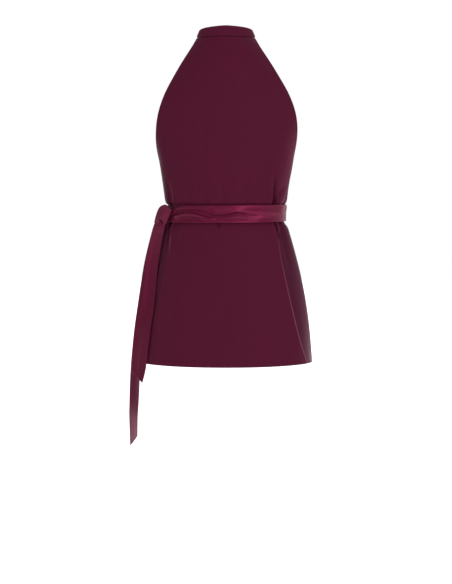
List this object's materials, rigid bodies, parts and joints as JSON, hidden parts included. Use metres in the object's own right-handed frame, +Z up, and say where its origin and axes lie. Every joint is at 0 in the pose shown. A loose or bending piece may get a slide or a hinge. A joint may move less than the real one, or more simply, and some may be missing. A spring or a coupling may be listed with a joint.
{
  "type": "waistcoat",
  "caption": "Sleeveless waistcoat with a stand collar, cut-away shoulders, a plain one-piece back, lapped fronts and a belt of the same cloth tied at the side, filled out as if worn.",
  "frame": {"origin": "centre of the ring where the collar is sewn on, level with the collar seam at the sides of the neck", "axes": "+Z up, +Y towards the wearer's front, +X towards the wearer's right; the plain back faces -Y"},
  "size_m": [0.4154, 0.2649, 0.9365],
  "materials": {
    "crepe": "matt burgundy crepe",
    "satin": "burgundy satin with a soft sheen"
  },
  "bodies": {
    "root": {"back_panel": "crepe", "front_right": "crepe", "front_left": "crepe", "collar": "crepe", "belt_band": "satin", "belt_knot": "satin", "belt_tail_short": "satin", "belt_tail_long": "satin"}
  },
  "joints": []
}
